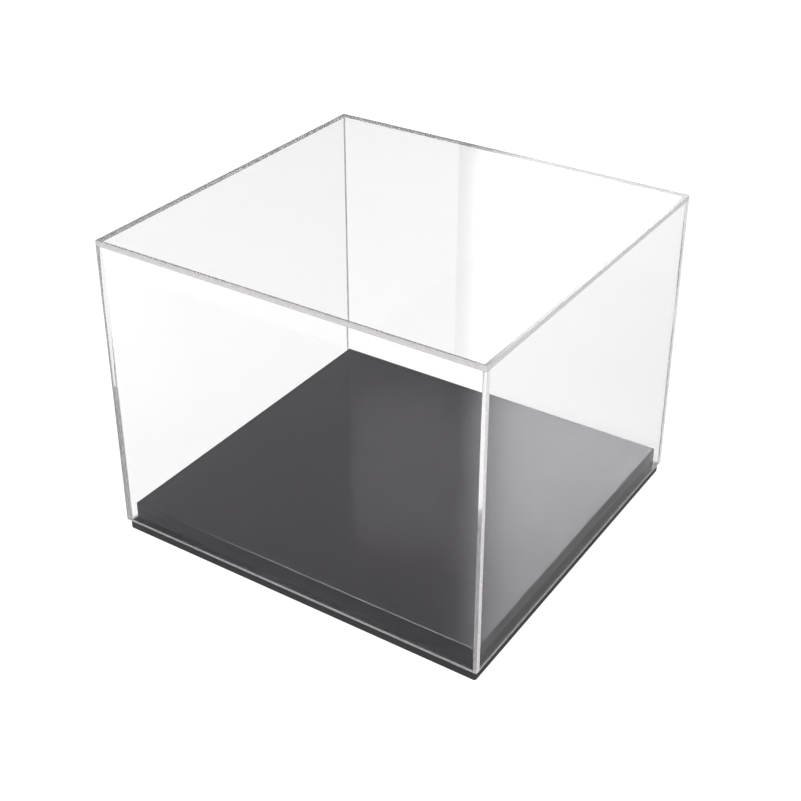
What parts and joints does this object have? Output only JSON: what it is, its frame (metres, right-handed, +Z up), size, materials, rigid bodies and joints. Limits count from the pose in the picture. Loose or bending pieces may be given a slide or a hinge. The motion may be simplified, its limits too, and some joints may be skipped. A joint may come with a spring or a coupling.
{
  "type": "acrylic display cube",
  "caption": "Clear acrylic display case: a box-shaped cover that lifts off a black acrylic base with a raised riser, for showing an object under cover.",
  "frame": {"origin": "middle of the footprint, on the surface that the feet stand on", "axes": "+Z up, +X to the right along the wider side, +Y towards the back"},
  "size_m": [0.315, 0.3, 0.2495],
  "materials": {
    "clear_acrylic": "clear, polished, flame-polished edges",
    "black_acrylic": "black, high gloss, polished arrises",
    "foot_rubber": "matt black"
  },
  "bodies": {
    "base": {"base_plate": "black_acrylic", "riser_deck": "black_acrylic", "riser_front_strip": "black_acrylic", "riser_back_strip": "black_acrylic", "riser_left_strip": "black_acrylic", "riser_right_strip": "black_acrylic", "foot_front_left": "foot_rubber", "foot_front_right": "foot_rubber", "foot_back_left": "foot_rubber", "foot_back_right": "foot_rubber"},
    "cover": {"cover_top_panel": "clear_acrylic", "cover_front_panel": "clear_acrylic", "cover_back_panel": "clear_acrylic", "cover_left_panel": "clear_acrylic", "cover_right_panel": "clear_acrylic"}
  },
  "joints": [
    {"name": "cover_lift", "type": "slide", "parent": "base", "child": "cover", "axis": [0, 0, 1], "range_m": [0, 0.24]}
  ]
}
